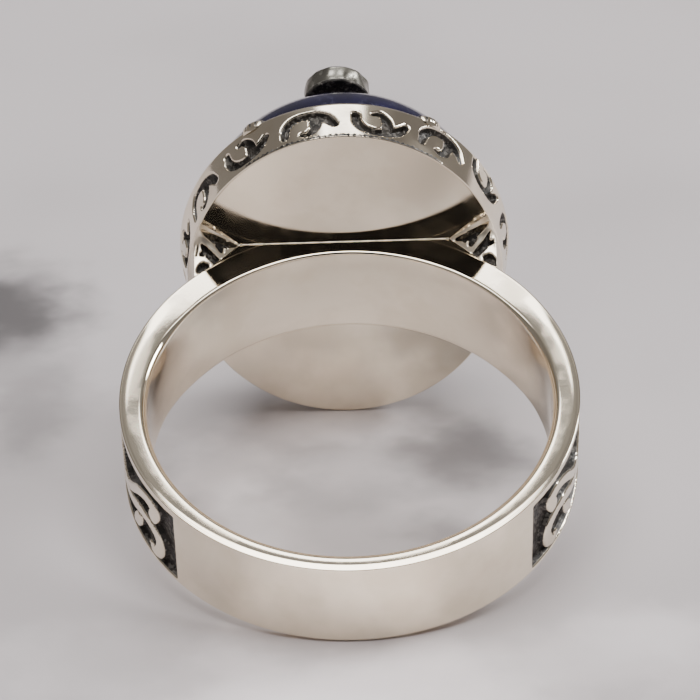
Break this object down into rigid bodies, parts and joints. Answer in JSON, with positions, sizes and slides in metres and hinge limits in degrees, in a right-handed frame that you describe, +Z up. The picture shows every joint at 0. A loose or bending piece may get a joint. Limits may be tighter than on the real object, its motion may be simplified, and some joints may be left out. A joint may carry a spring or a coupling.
{
  "type": "lapis lazuli ring",
  "caption": "Silver finger ring with a flat band, carved scroll shoulders and an oval box head holding a domed lapis stone with a small round boss over it.",
  "frame": {"origin": "on the surface that the ring lies on, below the middle of its bounding box", "axes": "+Z up from the surface, +Y from the back of the shank toward the stone, +X across the finger hole"},
  "size_m": [0.0216, 0.028, 0.019],
  "materials": {
    "silver": "polished silver, darkened in the carving",
    "lapis": null,
    "boss_silver": "hammered, darkened silver"
  },
  "bodies": {
    "root": {"silver_ring": "silver", "lapis_stone": "lapis", "boss": "boss_silver"}
  },
  "joints": []
}
